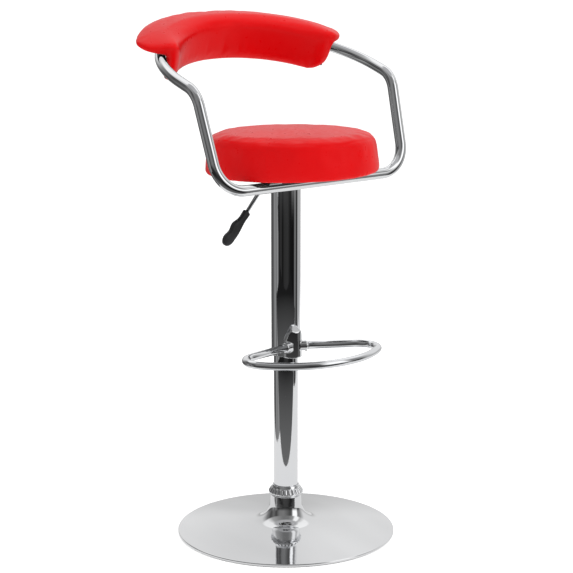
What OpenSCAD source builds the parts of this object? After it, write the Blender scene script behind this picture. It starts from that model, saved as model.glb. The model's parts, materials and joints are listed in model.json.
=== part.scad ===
// Adjustable swivel stool with a round padded seat, a tube arm frame and a curved back pad.
// Origin: column axis at floor level. +Z up, the sitter faces -Y. Drawn fully raised.

/* [Base] */
// Radius of the round base
base_r = 225; // [190:1:240]
// Thickness of the pressed base sheet
base_sheet = 1.6; // [1.2:0.1:2.2]
// Height of the top of the base's neck
neck_top = 79; // [70:1:90]
// Thickness of the stiffening plate under the base
plate_t = 4; // [3:0.5:5]

/* [Column] */
// Outer radius of the fixed lower tube
lower_r = 25; // [24:0.5:25]
// Outer radius of the sliding upper sleeve
sleeve_r = 30; // [30:0.5:32]
// Wall of both column tubes
column_wall = 2; // [1.5:0.1:2.2]
// Height of the sleeve's lower end when fully raised
sleeve_bottom = 381; // [370:1:395]
// Height of the sleeve's top end when fully raised
sleeve_top = 745; // [742:1:746]
// Travel of the gas lift
lift_travel = 215; // [150:5:220]

/* [Seat] */
// Radius of the cushion at its lower rim
seat_r = 175.6; // [165:0.2:185]
// Distance of the cushion's centre in front of the column
seat_forward = 22; // [10:1:30]
// Height of the seat board's underside over the cushion's centre
seat_z = 763; // [760:0.5:766]
// Height of the cushion's top edge over the board's underside
seat_h = 78; // [70:1:90]
// Crown of the cushion above its top edge
seat_crown = 5; // [3:1:12]
// Backward tilt of the seat, in degrees
seat_tilt = 1.75; // [0:0.25:3]

/* [Arm frame] */
// Outer radius of the arm tube
arm_r = 11; // [10:0.5:11]
// Wall of the arm tube
arm_wall = 1.5; // [1.2:0.1:2]
// Half width of the frame where the arms start
arm_half = 242; // [236:1:246]
// Height of the arms' front bends
arm_z = 940; // [920:1:950]
// Rise of the arms towards the back, in degrees
arm_slope = 15.8; // [12:0.2:18]
// Radius of the frame's curve behind the sitter
rear_r = 244; // [240:1:248]
// Distance along the arms from the front bends to the curve's centre
rear_start = 55; // [45:1:65]

/* [Back pad] */
// Radius of the pad's inner face
pad_in_r = 208; // [204:1:214]
// Radius of the pad's outer rim
pad_out_r = 288; // [280:1:295]
// Half of the angle that the pad covers
pad_half = 64.5; // [58:0.5:66]
// Depth of the pad's face below the tube's centre line
pad_drop = 51; // [40:1:55]

/* [Foot rest] */
// Outer radius of the foot-rest tube
rest_r = 8; // [7.5:0.5:8]
// Height of the foot rest when fully raised
rest_z = 405; // [402:1:410]
// Radius of the foot rest's front curve
rest_front_r = 190; // [180:1:200]
// Turn of the foot rest to one side of the seat, in degrees
rest_turn = -8.5; // [-12:0.5:12]

/* [Hidden] */
$fn = 64;
run_gap = 0.05;

// Base and column, from the floor up
lower_in_r = lower_r - column_wall;
sleeve_in_r = sleeve_r - column_wall;
plate_z = 1.6;
base_edge_z = 6.5;
neck_r = 31;
flare = [38, 27.5];
flare_r = 40;
pad_ring_w = 10;
pad_ring_in = 2;
plate_in = 26;
plate_hole_r = 14;
base_hub_t = 4;
base_hub_h = 34;
foot_z = plate_z + plate_t;
plug_z = 22;
plug_top = 32;
race_h = 2.5;
race_r = 18;
ball_r = 2.5;
ball_pcd_r = 12;
balls = 8;
cage_t = 2;
ball_gap = 0.3;
ball_z = plug_top + race_h + ball_gap + ball_r;
upper_race_z = ball_z + ball_r + ball_gap;
rod_r = 5;
rod_foot_z = 10;
clip_ring_r = 9;
stop_r = 11;
stop_h = 12;
cylinder_r = 14;
cylinder_in_r = 12.5;
cylinder_z = 405;
cylinder_top = 742;
guide_h = 14;
piston_z = cylinder_z + guide_h + 6;
piston_h = 12;
valve_r = 4;
valve_dome_r = 6;
valve_foot_z = 702;
valve_seat_z = 667;
lower_top = 474;
bushing_h = 38;
bushing_flange = 3;
collar_top = 102;
collar_gap = 0.4;
collar_foot_r = 36;
collar_foot_z = 84;
collar_foot_h = 4;
collar_lip = 2;
guide_ring_h = 24;
guide_ring_lip = 1.5;

// Mechanism under the seat
hub_r = 24;
top_cap_h = 14;
taper_h = 45;
taper_in = 1.2;
hub_z = cylinder_top - taper_h;
mech_t = 2.5;
mech_half = 80;
flange_h = 16;
bolt_half = 62;
bolt_r = 3;
bolt_head_r = 6.5;
bolt_head_h = 4.5;
pivot_x = -18;
pivot_z = 750.5;
pivot_r = 2.5;
lever_r = 4;
lever_slot = 12;
lever_tail = [6, 0, pivot_z];
lever_elbow = [-45, 0, pivot_z];
elbow_r = 12;
socket_depth = 25;
grip_t = 14;
grip_start = [-96.8, 0, 687];
grip_end = [-153.4, 0, 626.8];

// Seat board and cushion, drawn about the seat's own axis from the board's underside
board_r = 165;
board_t = 12;
seat_edge_r = 18;
nut_r = 4.5;
nut_flange_r = 10;
nut_flange_t = 1.2;

// Arm frame: corners of the closed tube run, and the radius of each bend
bar_y = -97;
bar_z = 751;
bar_half = 229.5;
bend_y = -37;
bend_r = 50;
low_bend_r = 62;
arm_dir = [0, cos(arm_slope), sin(arm_slope)];
arm_origin = [0, bend_y, arm_z];
rear_v = rear_start + rear_r;
arm_corners = [
    [-bar_half, bar_y, bar_z],
    [-arm_half, bend_y, arm_z],
    [-rear_r, bend_y, arm_z] + rear_v * arm_dir,
    [rear_r, bend_y, arm_z] + rear_v * arm_dir,
    [arm_half, bend_y, arm_z],
    [bar_half, bar_y, bar_z]
];
arm_bends = [low_bend_r, bend_r, rear_r - 1, rear_r - 1, bend_r, low_bend_r];
arm_steps = [8, 6, 18, 18, 6, 8];
// The tube's two ends meet under the seat, over a joining sleeve
arm_sides = 16;
joint_gap = 0.6;
joint_len = 60;
arm_path = concat(
    [[-joint_gap / 2, bar_y, bar_z]],
    [for (i = [0 : 5]) each bend_pts(
        arm_corners[(i + 5) % 6], arm_corners[i], arm_corners[(i + 1) % 6], arm_bends[i], arm_steps[i])],
    [[joint_gap / 2, bar_y, bar_z]]
);
tab_x = [-100, 100];
tab_w = 30;
tab_t = 3;
tab_len = 62;
tab_screw_y = bar_y + 38;
tab_screw_r = 2.5;
clip_angles = [-38, 0, 38];
back_screw_r = 2;
pad_out_shift = 17;
tube_r0 = rear_r - 1;
pad_flange_r = tube_r0 - arm_r - 2;
clip_w = 10;
clip_t = 1.5;
clip_r = arm_r + 0.35;
clip_foot = 14;
clip_foot_z = 9.5;
clip_screw_y = tube_r0 + clip_r + 8;
shell_r = [224, 229];
shell_rim_r = 276;
shell_half = 60;
crest_z = 42;
crest_r = 18;
lip_reach = 310;
lip_under = [11.6, 9];
lip_top = 23.5;

// Foot rest: a shallow V of two straight arms, two corners and a front curve, all tangent
v_apex = -33.8;
v_slope = 0.35;
corner_r = 39;
rest_wall = 1.5;
front_c = -195.6 + rest_front_r;
line_n = [v_slope, 1] / norm([v_slope, 1]);
// Angle at which the front curve meets the corners, from the corner's distance to the arm line
corner_reach = rest_front_r - corner_r;
meet_c = -corner_r - line_n.y * (front_c - v_apex);
meet = asin(meet_c / corner_reach) + atan2(line_n.y, line_n.x);
corner_c = [corner_reach * sin(meet), front_c - corner_reach * cos(meet)];
arm_end = corner_c + corner_r * line_n;
socket_in_x = 12;
boss_out_x = 28;
boss_r = 10.5;
bracket_y = -27;
bracket_r = 20;
bracket_top = 447;
bracket_front_top = 435;
set_screw_x = 24;
set_screw_r = 2;
set_screw_len = 3.5;

chrome = [0.80, 0.81, 0.83];
steel = [0.55, 0.56, 0.58];
black = [0.12, 0.12, 0.13];
nylon = [0.85, 0.85, 0.82];
red = [0.80, 0.03, 0.05];
ply = [0.76, 0.60, 0.40];

function unit(v) = v / norm(v);

// Points along the bend of radius r that a tube makes at corner b, coming from a and going to c
function bend_pts(a, b, c, r, n) =
    let (
        u = unit(a - b),
        w = unit(c - b),
        turn = 180 - acos(u * w),
        out = -unit(w - (w * u) * u),
        m = b + u * r * tan(turn / 2) - out * r
    )
    [for (i = [0 : n]) m + r * (cos(turn * i / n) * out - sin(turn * i / n) * u)];

// Points of one rounded corner of a 2D outline; r = 0 keeps the corner sharp
function corner_pts(a, b, c, r, n) =
    r == 0 ? [b] :
    let (
        u = unit(a - b),
        w = unit(c - b),
        half = acos(u * w) / 2,
        m = b + unit(u + w) * r / sin(half),
        p = b + u * r / tan(half) - m,
        q = b + w * r / tan(half) - m,
        s = atan2(p.y, p.x),
        d = atan2(q.y, q.x) - s,
        e = d > 180 ? d - 360 : d < -180 ? d + 360 : d
    )
    [for (i = [0 : n]) m + r * [cos(s + e * i / n), sin(s + e * i / n)]];

// Closed outline with each corner rounded by its own radius
function rounded(pts, radii, n = 8) =
    let (k = len(pts))
    [for (i = [0 : k - 1]) each corner_pts(pts[(i + k - 1) % k], pts[i], pts[(i + 1) % k], radii[i], n)];

// Ring about Z from radius r1 to r2, from z1 to z2
module ring(r1, r2, z1, z2) {
    translate([0, 0, z1]) linear_extrude(z2 - z1) difference() {
        circle(r2);
        circle(r1);
    }
}

// Places children with their Z axis along the line from a to b
module aim(a, b) {
    d = b - a;
    translate(a) rotate([0, acos(d.z / norm(d)), atan2(d.y, d.x)]) children();
}

// Straight rod from a to b
module rod(a, b, r) {
    aim(a, b) cylinder(h = norm(b - a), r = r);
}

// Tube swept along a path as one polyhedron; solid when the wall is 0
module sweep_tube(path, r, wall, sides) {
    k = len(path);
    dirs = [for (i = [0 : k - 1]) unit(path[min(i + 1, k - 1)] - path[max(i - 1, 0)])];
    first = abs(dirs[0].z) < 0.9 ? cross(dirs[0], [0, 0, 1]) : cross(dirs[0], [1, 0, 0]);
    sideways = [for (i = 0, n = unit(first); i < k; i = i + 1,
        n = i < k ? unit(n - (n * dirs[i]) * dirs[i]) : n) n];
    radii = wall > 0 ? [r, r - wall] : [r];
    pts = [for (q = radii, i = [0 : k - 1], j = [0 : sides - 1])
        let (t = 360 * j / sides)
        path[i] + q * (cos(t) * sideways[i] + sin(t) * cross(dirs[i], sideways[i]))];
    inner = k * sides;
    last = (k - 1) * sides;
    skin = [for (i = [0 : k - 2], j = [0 : sides - 1]) let (m = (j + 1) % sides)
        [i * sides + j, (i + 1) * sides + j, (i + 1) * sides + m, i * sides + m]];
    bore = [for (f = skin) [f[3] + inner, f[2] + inner, f[1] + inner, f[0] + inner]];
    ends = wall > 0
        ? [for (j = [0 : sides - 1]) let (m = (j + 1) % sides) each [
            [j, m, inner + m, inner + j],
            [last + m, last + j, inner + last + j, inner + last + m]]]
        : [[for (j = [0 : sides - 1]) j], [for (j = [sides - 1 : -1 : 0]) last + j]];
    polyhedron(pts, concat(skin, wall > 0 ? bore : [], ends));
}

// Seat frame: origin at the cushion's axis on the board's underside, tilted back
module seat_frame() {
    translate([0, -seat_forward, seat_z]) rotate([-seat_tilt, 0, 0]) children();
}

// Back frame: origin at the rear curve's centre, +Y along the arms, +Z square to their plane
module back_frame() {
    translate(arm_origin) rotate([arm_slope, 0, 0]) translate([0, rear_start, 0]) children();
}

// Foot-rest frame: turned about the column, at the foot rest's height
module rest_frame() {
    rotate([0, 0, rest_turn]) translate([0, 0, rest_z]) children();
}

// Part ring in the back frame: the children's section swept over half degrees each way
module back_sweep(half) {
    rotate([0, 0, 90 - half]) rotate_extrude(angle = 2 * half, $fn = 120) children();
}

module base_disc() {
    rim = [base_r, plate_z];
    edge = [base_r, base_edge_z];
    neck = [neck_r, neck_top];
    profile = rounded(
        [neck, flare, edge, rim, rim - [base_sheet, 0], edge - [base_sheet, base_sheet],
            flare - [base_sheet, base_sheet], neck - [base_sheet, 0]],
        [0, flare_r, 2, 0, 0, 0.5, flare_r + base_sheet, 0], 10);
    color(chrome) rotate_extrude($fn = 128) polygon(profile);
}

module base_floor_ring() {
    out = base_r - pad_ring_in;
    in = out - pad_ring_w;
    bevel = 0.5;
    color(black) rotate_extrude($fn = 128) polygon(
        [[in, 0], [out - bevel, 0], [out, bevel], [out, plate_z], [in, plate_z]]);
}

module base_plate() {
    color(steel) ring(plate_hole_r, base_r - plate_in, plate_z, foot_z);
}

module base_hub() {
    color(steel) ring(lower_r, lower_r + base_hub_t, foot_z, foot_z + base_hub_h);
}

module column_collar() {
    in = lower_r + collar_gap;
    color(chrome) rotate_extrude($fn = 96) polygon(rounded(
        [[in, neck_top], [neck_r, neck_top], [collar_foot_r, collar_foot_z],
            [collar_foot_r, collar_foot_z + collar_foot_h], [in + collar_lip, collar_top], [in, collar_top]],
        [0, 1, 1.5, 2, 1, 0], 4));
}

module lower_tube() {
    color(chrome) ring(lower_in_r, lower_r, foot_z, lower_top);
}

module tube_foot_plug() {
    color(steel) ring(rod_r + run_gap, lower_in_r, plug_z, plug_top);
}

module cylinder_bushing() {
    color(nylon) {
        ring(cylinder_r + run_gap, lower_in_r, lower_top - bushing_h, lower_top);
        ring(cylinder_r + run_gap, lower_r, lower_top, lower_top + bushing_flange);
    }
}

module bearing_lower_race() {
    color(steel) ring(rod_r + 1, race_r, plug_top, plug_top + race_h);
}

// Places children at the bearing's balls
module ball_places() {
    for (i = [0 : balls - 1]) rotate([0, 0, 360 / balls * i]) translate([ball_pcd_r, 0, ball_z]) children();
}

module bearing_cage() {
    color(nylon) difference() {
        ring(rod_r + 2, race_r - 1, ball_z - cage_t / 2, ball_z + cage_t / 2);
        ball_places() cylinder(h = 2 * cage_t, r = ball_r, center = true, $fn = 32);
    }
}

module bearing_balls() {
    color(chrome) ball_places() sphere(ball_r, $fn = 24);
}

module bearing_upper_race() {
    color(steel) ring(rod_r, race_r, upper_race_z, upper_race_z + race_h);
}

module piston_rod() {
    color(chrome) translate([0, 0, rod_foot_z]) cylinder(h = piston_z + piston_h - rod_foot_z, r = rod_r);
}

module rod_clip() {
    color(steel) ring(rod_r, clip_ring_r, plug_z - race_h, plug_z - ball_gap);
}

module bump_stop() {
    color(black) ring(rod_r, stop_r, upper_race_z + race_h, upper_race_z + race_h + stop_h);
}

module piston() {
    color(steel) ring(rod_r, cylinder_in_r - run_gap, piston_z, piston_z + piston_h);
}

module gas_cylinder() {
    color(steel) rotate_extrude() polygon([
        [cylinder_in_r, cylinder_z],
        [cylinder_r, cylinder_z],
        [cylinder_r, hub_z],
        [cylinder_r - taper_in, cylinder_top],
        [valve_r, cylinder_top],
        [valve_r, valve_seat_z],
        [cylinder_in_r, valve_seat_z - 10]
    ]);
}

module rod_guide() {
    color(black) ring(rod_r + run_gap, cylinder_in_r, cylinder_z, cylinder_z + guide_h);
}

module valve_pin() {
    tip_z = pivot_z - lever_r - run_gap;
    centre_z = tip_z - valve_dome_r;
    color(steel) intersection() {
        translate([0, 0, valve_foot_z]) cylinder(h = tip_z - valve_foot_z, r = valve_r - run_gap);
        union() {
            translate([0, 0, centre_z]) sphere(valve_dome_r);
            translate([0, 0, valve_foot_z]) cylinder(h = centre_z - valve_foot_z, r = valve_r);
        }
    }
}

module upper_sleeve() {
    color(chrome) ring(sleeve_in_r, sleeve_r, sleeve_bottom, sleeve_top);
}

module sleeve_guide_ring() {
    low = sleeve_bottom - guide_ring_lip;
    color(black) ring(lower_r + run_gap, sleeve_in_r, low, sleeve_bottom + guide_ring_h);
}

module sleeve_top_cap() {
    color(nylon) ring(hub_r, sleeve_in_r, sleeve_top - top_cap_h, sleeve_top);
}

module mechanism_hub() {
    bore_r = cylinder_r - taper_in;
    top = seat_z + 2;
    color(steel) difference() {
        rotate_extrude() polygon([
            [cylinder_r, hub_z],
            [hub_r, hub_z + 6],
            [hub_r, top],
            [bore_r, top],
            [bore_r, cylinder_top]
        ]);
        seat_frame() translate([-2 * hub_r, -hub_r, -mech_t]) cube([4 * hub_r, 4 * hub_r, 20]);
        translate([-hub_r - 6, -lever_slot / 2, cylinder_top + 0.5]) cube([hub_r + 6, lever_slot, 15]);
        pivot_hole(pivot_r);
    }
}

// Round hole or pin across the lever's pivot
module pivot_hole(r, h = 60) {
    translate([pivot_x, 0, pivot_z]) rotate([90, 0, 0]) cylinder(h = h, r = r, center = true);
}

// Places children at the seat's four bolts
module bolt_places() {
    seat_frame() for (x = [-1, 1], y = [-1, 1])
        translate([x * bolt_half, seat_forward + y * bolt_half, 0]) children();
}

module mechanism_plate() {
    color(steel) difference() {
        seat_frame() translate([0, seat_forward, 0]) {
            translate([-mech_half, -mech_half, -mech_t]) cube([2 * mech_half, 2 * mech_half, mech_t]);
            for (x = [-mech_half, mech_half - mech_t]) translate([x, -mech_half, -flange_h])
                cube([mech_t, 2 * mech_half, flange_h]);
        }
        bolt_places() translate([0, 0, -20]) cylinder(h = 40, r = bolt_r + 0.3);
    }
}

module mechanism_bolts() {
    color(steel) bolt_places() {
        translate([0, 0, -mech_t]) cylinder(h = mech_t + board_t, r = bolt_r);
        translate([0, 0, -mech_t - bolt_head_h]) cylinder(h = bolt_head_h, r = bolt_head_r, $fn = 6);
    }
}

module board_nuts() {
    color(steel) bolt_places() {
        ring(bolt_r, nut_r, 1, board_t);
        ring(bolt_r, nut_flange_r, board_t, board_t + nut_flange_t);
    }
}

module lever_pivot_pin() {
    color(steel) pivot_hole(pivot_r, 26);
}

module lever_rod() {
    down = unit(grip_start - lever_elbow);
    color(chrome) difference() {
        union() {
            rod(lever_tail, [-34, 0, pivot_z], lever_r);
            sweep_tube(
                concat([[-28, 0, pivot_z]], bend_pts(lever_tail, lever_elbow, grip_start, elbow_r, 5),
                    [grip_start + (socket_depth - 1) * down]),
                lever_r - 0.1, 0, 16);
        }
        pivot_hole(pivot_r + run_gap);
    }
}

module lever_grip() {
    grip_len = norm(grip_end - grip_start);
    down = unit(grip_start - lever_elbow);
    outline = rounded(
        [[-8.5, 0], [8.5, 0], [8, 22], [12.5, 50], [12, grip_len], [-12, grip_len], [-12.5, 50], [-8, 22]],
        [2, 2, 30, 30, 11, 11, 30, 30]);
    color(black) difference() {
        aim(grip_start, grip_end) rotate([90, 0, 0]) linear_extrude(grip_t, center = true) polygon(outline);
        rod(grip_start - 5 * down, grip_start + socket_depth * down, lever_r);
    }
}

module seat_board() {
    color(ply) difference() {
        seat_frame() cylinder(h = board_t, r = board_r);
        bolt_places() translate([0, 0, -1]) cylinder(h = board_t + 2, r = nut_r);
        tab_screw_places() translate([0, 0, -1]) cylinder(h = 11, r = tab_screw_r);
    }
}

module seat_cushion() {
    pocket = board_t + 1.5;
    waist = [seat_r - 3.5, 36];
    color(red) seat_frame() rotate_extrude($fn = 128) polygon(rounded(
        [[0, pocket], [board_r, pocket], [board_r, 0], [seat_r, 0],
            waist, [waist.x, seat_h], [0, seat_h + seat_crown]],
        [0, 0, 0, 3, 60, seat_edge_r, 0]));
}

module arm_frame() {
    color(chrome) sweep_tube(arm_path, arm_r, arm_wall, arm_sides);
}

module frame_joint_sleeve() {
    joint_r = (arm_r - arm_wall) * cos(180 / arm_sides) - run_gap;
    color(steel) rod([-joint_len / 2, bar_y, bar_z], [joint_len / 2, bar_y, bar_z], joint_r);
}

// Places children at the frame's two screws, on the board's underside
module tab_screw_places() {
    seat_frame() for (x = tab_x) translate([x, tab_screw_y + seat_forward, 0]) children();
}

module frame_tabs() {
    color(steel) difference() {
        seat_frame() for (x = tab_x) translate([x - tab_w / 2, bar_y + seat_forward, 0]) {
            translate([0, -arm_r - 1, -tab_t]) cube([tab_w, tab_len, tab_t]);
            translate([0, -7, -8]) cube([tab_w, 14, 8]);
        }
        rod([-150, bar_y, bar_z], [150, bar_y, bar_z], arm_r);
        tab_screw_places() translate([0, 0, -10]) cylinder(h = 20, r = tab_screw_r);
    }
}

module frame_screws() {
    color(steel) tab_screw_places() {
        translate([0, 0, -tab_t - 3]) cylinder(h = 3, r = 5);
        translate([0, 0, -tab_t]) cylinder(h = 12, r = tab_screw_r);
    }
}

// Places children at the back's clips, +Y outward
module back_clip_places() {
    back_frame() for (t = clip_angles) rotate([0, 0, t]) children();
}

// Cross-section of the stiff shell in the pad, in the tube's plane
module shell_section() {
    polygon([
        [shell_r[0], -40], [shell_r[1], -40], [shell_r[1], 14],
        [shell_rim_r, 13], [shell_rim_r, 17], [shell_r[0], 19]
    ]);
}

module back_shell() {
    color(black) difference() {
        back_frame() back_sweep(shell_half) shell_section();
        back_clip_places() translate([0, clip_screw_y, 0]) cylinder(h = 30, r = back_screw_r);
    }
}

module back_pad() {
    color(red) difference() {
        back_frame() intersection() {
            back_sweep(pad_half) polygon(rounded([
                [pad_in_r, -pad_drop], [pad_flange_r, -pad_drop], [pad_flange_r, lip_under[0]],
                [lip_reach, lip_under[1]], [lip_reach, lip_top], [pad_in_r, crest_z]
            ], [6, 6, 0, 0, 0, crest_r]));
            translate([0, pad_out_shift, -100]) cylinder(h = 200, r = pad_out_r, $fn = 128);
        }
        back_frame() back_sweep(shell_half) shell_section();
        back_clip_places() translate([0, clip_screw_y, 0]) cylinder(h = 16, r = back_screw_r);
    }
}

// Saddle clips that hold the tube against the pad's shell
module back_clips() {
    color(steel) back_clip_places() difference() {
        translate([0, tube_r0, 0]) rotate([90, 0, 90]) linear_extrude(clip_w, center = true) difference() {
            union() {
                circle(clip_r + clip_t);
                translate([-clip_r - clip_t, 0]) square([clip_t, 6]);
                translate([clip_r, 0]) square([clip_t, clip_foot_z]);
                translate([clip_r, clip_foot_z - clip_t]) square([clip_foot, clip_t]);
            }
            circle(clip_r);
            translate([-clip_r, 0]) square([2 * clip_r, 30]);
            translate([-clip_r - 5, 6]) square([10, 30]);
        }
        translate([0, clip_screw_y, 0]) cylinder(h = 30, r = back_screw_r);
    }
}

module back_screws() {
    color(steel) back_clip_places() translate([0, clip_screw_y, 0]) {
        translate([0, 0, clip_foot_z - clip_t]) cylinder(h = 7.5, r = back_screw_r);
        translate([0, 0, clip_foot_z - clip_t - 2.5]) cylinder(h = 2.5, r = 4);
    }
}

// Point of a foot-rest arm at distance x to side s
function arm_pt(s, x) = [s * x, v_apex - v_slope * x, 0];

module footrest_bracket() {
    color(chrome) rest_frame() difference() {
        union() {
            intersection() {
                translate([0, bracket_y, sleeve_bottom - rest_z])
                    cylinder(h = bracket_top - sleeve_bottom, r = bracket_r);
                translate([0, 0, -rest_z]) rotate([90, 0, 0]) linear_extrude(60) polygon([
                    [-24, sleeve_bottom], [24, sleeve_bottom], [22, rest_z + 12], [13, bracket_top - 3],
                    [6, bracket_top], [-6, bracket_top], [-13, bracket_top - 3], [-22, rest_z + 12]
                ]);
                translate([-40, 0, -rest_z]) rotate([0, 90, 0]) linear_extrude(80) polygon([
                    [-sleeve_bottom, -60], [-bracket_front_top, -60],
                    [-bracket_front_top, bracket_y - bracket_r],
                    [-bracket_top, -34], [-bracket_top, 0], [-sleeve_bottom, 0]
                ]);
            }
            for (s = [-1, 1]) rod(arm_pt(s, socket_in_x), arm_pt(s, boss_out_x), boss_r);
        }
        translate([0, 0, -100]) cylinder(h = 200, r = sleeve_r);
        for (s = [-1, 1]) {
            rod(arm_pt(s, socket_in_x), arm_pt(s, 60), rest_r);
            translate(arm_pt(s, set_screw_x) - [0, 0, 20]) cylinder(h = 20, r = set_screw_r);
        }
    }
}

module footrest_ring() {
    line_angle = atan2(line_n.y, line_n.x);
    right = concat(
        [arm_pt(1, socket_in_x)],
        [for (i = [8 : -1 : 0]) let (t = meet - 90 + (line_angle - meet + 90) * i / 8)
            [corner_c.x + corner_r * cos(t), corner_c.y + corner_r * sin(t), 0]]
    );
    front = [for (i = [1 : 15]) let (t = meet - 90 - 2 * meet * i / 16)
        [rest_front_r * cos(t), front_c + rest_front_r * sin(t), 0]];
    left = [for (i = [len(right) - 1 : -1 : 0]) [-right[i].x, right[i].y, 0]];
    color(chrome) rest_frame() sweep_tube(concat(right, front, left), rest_r, rest_wall, 14);
}

module footrest_screws() {
    color(steel) rest_frame() for (s = [-1, 1])
        translate(arm_pt(s, set_screw_x) - [0, 0, rest_r + set_screw_len])
            cylinder(h = set_screw_len, r = set_screw_r);
}

base_disc();
base_floor_ring();
base_plate();
base_hub();
column_collar();
lower_tube();
tube_foot_plug();
cylinder_bushing();
bearing_lower_race();
bearing_cage();
bearing_balls();
bearing_upper_race();
piston_rod();
rod_clip();
bump_stop();
piston();
gas_cylinder();
rod_guide();
valve_pin();
upper_sleeve();
sleeve_guide_ring();
sleeve_top_cap();
mechanism_hub();
mechanism_plate();
mechanism_bolts();
board_nuts();
lever_pivot_pin();
lever_rod();
lever_grip();
seat_board();
seat_cushion();
arm_frame();
frame_joint_sleeve();
frame_tabs();
frame_screws();
back_shell();
back_pad();
back_clips();
back_screws();
footrest_bracket();
footrest_ring();
footrest_screws();
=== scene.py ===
"""Looks of the adjustable swivel stool: chrome tubes, red vinyl seat and back, built round the CAD frame.
Units are metres, in the CAD frame: +Z up, the sitter faces -Y, the column's axis is x = y = 0."""

import json
from math import acos, asin, atan2, cos, exp, pi, radians, sin, sqrt, tan

import bpy
import numpy as np
from mathutils import Matrix, Vector, noise


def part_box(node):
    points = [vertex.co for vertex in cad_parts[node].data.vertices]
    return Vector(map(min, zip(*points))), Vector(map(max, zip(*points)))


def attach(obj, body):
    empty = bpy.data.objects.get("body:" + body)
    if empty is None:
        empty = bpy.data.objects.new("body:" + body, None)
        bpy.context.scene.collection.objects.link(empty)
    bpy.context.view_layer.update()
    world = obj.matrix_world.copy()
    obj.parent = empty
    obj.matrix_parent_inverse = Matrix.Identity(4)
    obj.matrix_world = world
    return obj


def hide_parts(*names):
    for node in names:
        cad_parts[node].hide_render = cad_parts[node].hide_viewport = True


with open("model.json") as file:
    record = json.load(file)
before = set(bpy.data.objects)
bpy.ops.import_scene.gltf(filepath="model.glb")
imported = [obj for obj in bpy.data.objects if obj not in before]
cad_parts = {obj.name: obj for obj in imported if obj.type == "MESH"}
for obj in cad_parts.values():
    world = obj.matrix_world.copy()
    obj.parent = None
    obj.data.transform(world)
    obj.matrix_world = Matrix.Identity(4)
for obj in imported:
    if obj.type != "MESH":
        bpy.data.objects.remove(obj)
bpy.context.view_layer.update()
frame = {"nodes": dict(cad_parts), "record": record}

MM = 0.001

# ---------------------------------------------------------------- driving sizes, as in the CAD
BASE_R = 225 * MM
BASE_SHEET = 1.6 * MM
NECK_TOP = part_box("column_collar")[0].z
COLLAR_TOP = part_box("column_collar")[1].z
LOWER_R = 25 * MM
SLEEVE_R = 30 * MM

SEAT_R = 175.6 * MM
SEAT_H = 78 * MM
SEAT_CROWN = 5 * MM
SEAT_TILT = radians(1.75)
SEAT_LEAN = radians(1.0)
SEAT_AT = Vector((0, -22 * MM, 763 * MM))
BOARD_R = 165 * MM
BOARD_T = 12 * MM
HEM_R = 149 * MM

ARM_R = 11 * MM
ARM_SLOPE = radians(15.8)
ARM_DIR = Vector((0, cos(ARM_SLOPE), sin(ARM_SLOPE)))
ARM_UP = Vector((0, -sin(ARM_SLOPE), cos(ARM_SLOPE)))
ARM_AT = Vector((0, -37 * MM, 940 * MM))
REAR_R = 244 * MM
REAR_START = 55 * MM
BAR = Vector((229.5, -97, 751)) * MM
ARM_HALF = 242 * MM

PAD_IN_R = 208 * MM
PAD_FLANGE_R = 230 * MM
PAD_OUT_R = 288 * MM
PAD_OUT_SHIFT = 17 * MM
PAD_HALF = radians(64.5)
FACE_HALF = radians(64)
PAD_DROP = 53 * MM

REST_R = 8 * MM
REST_Z = 405 * MM
REST_TURN = radians(-8.5)
REST_FRONT_R = 190 * MM
REST_FRONT_C = REST_FRONT_R - 195.6 * MM
REST_CORNER_R = 39 * MM
V_APEX = -33.8 * MM
V_SLOPE = 0.35
SOCKET_X = 14 * MM
BRACKET_Y = -27 * MM
BRACKET_R = 20 * MM
BRACKET_TOP = 447 * MM
BRACKET_FRONT_TOP = 435 * MM

LEVER_R = 4 * MM
LEVER_TAIL = Vector((6, 0, 750.5)) * MM
LEVER_ELBOW = Vector((-45, 0, 750.5)) * MM
GRIP_START = Vector((-96.8, 0, 687)) * MM
GRIP_END = Vector((-153.4, 0, 626.8)) * MM


# ---------------------------------------------------------------- mesh helpers
def smooth_step(low, high, x):
    """0 below low, 1 above high, with an easy start and end; low may be the larger one."""
    t = max(0.0, min(1.0, (x - low) / (high - low)))
    return t * t * (3 - 2 * t)


def bell(x, width):
    """A smooth bump of height 1 about zero."""
    return exp(-(x / width) ** 2)


def loose_mesh(name, verts, faces):
    """A mesh object that isn't a piece yet."""
    mesh = bpy.data.meshes.new(name)
    mesh.from_pydata([tuple(v) for v in verts], [], faces)
    obj = bpy.data.objects.new(name, mesh)
    bpy.context.scene.collection.objects.link(obj)
    return obj


def new_piece(name, verts, faces, body, material, stands_for=()):
    """A mesh object that rides on a body and stands for CAD nodes."""
    obj = loose_mesh(name, verts, faces)
    obj.data.validate()
    obj.data.update()
    finish_piece(obj, body, material, stands_for)
    return obj


def finish_piece(obj, body, material, stands_for=()):
    """Shading, material, body and the CAD nodes that a finished mesh stands for."""
    obj.data.materials.clear()
    obj.data.materials.append(material)
    obj.data.polygons.foreach_set("use_smooth", [True] * len(obj.data.polygons))
    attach(obj, body)
    if stands_for:
        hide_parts(*stands_for)


def rounded(points, radii, steps=8):
    """A closed 2D outline whose corners are rounded, each by its own radius."""
    out = []
    count = len(points)
    for i, radius in enumerate(radii):
        a, b, c = (Vector(points[k % count]) for k in (i - 1, i, i + 1))
        if radius == 0:
            out.append(b)
            continue
        u, w = (a - b).normalized(), (c - b).normalized()
        half = acos(max(-1, min(1, u.dot(w)))) / 2
        centre = b + (u + w).normalized() * radius / sin(half)
        p, q = b + u * radius / tan(half) - centre, b + w * radius / tan(half) - centre
        start = atan2(p.y, p.x)
        turn = (atan2(q.y, q.x) - start + pi) % (2 * pi) - pi
        for k in range(steps + 1):
            t = start + turn * k / steps
            out.append(centre + radius * Vector((cos(t), sin(t))))
    return out


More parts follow.
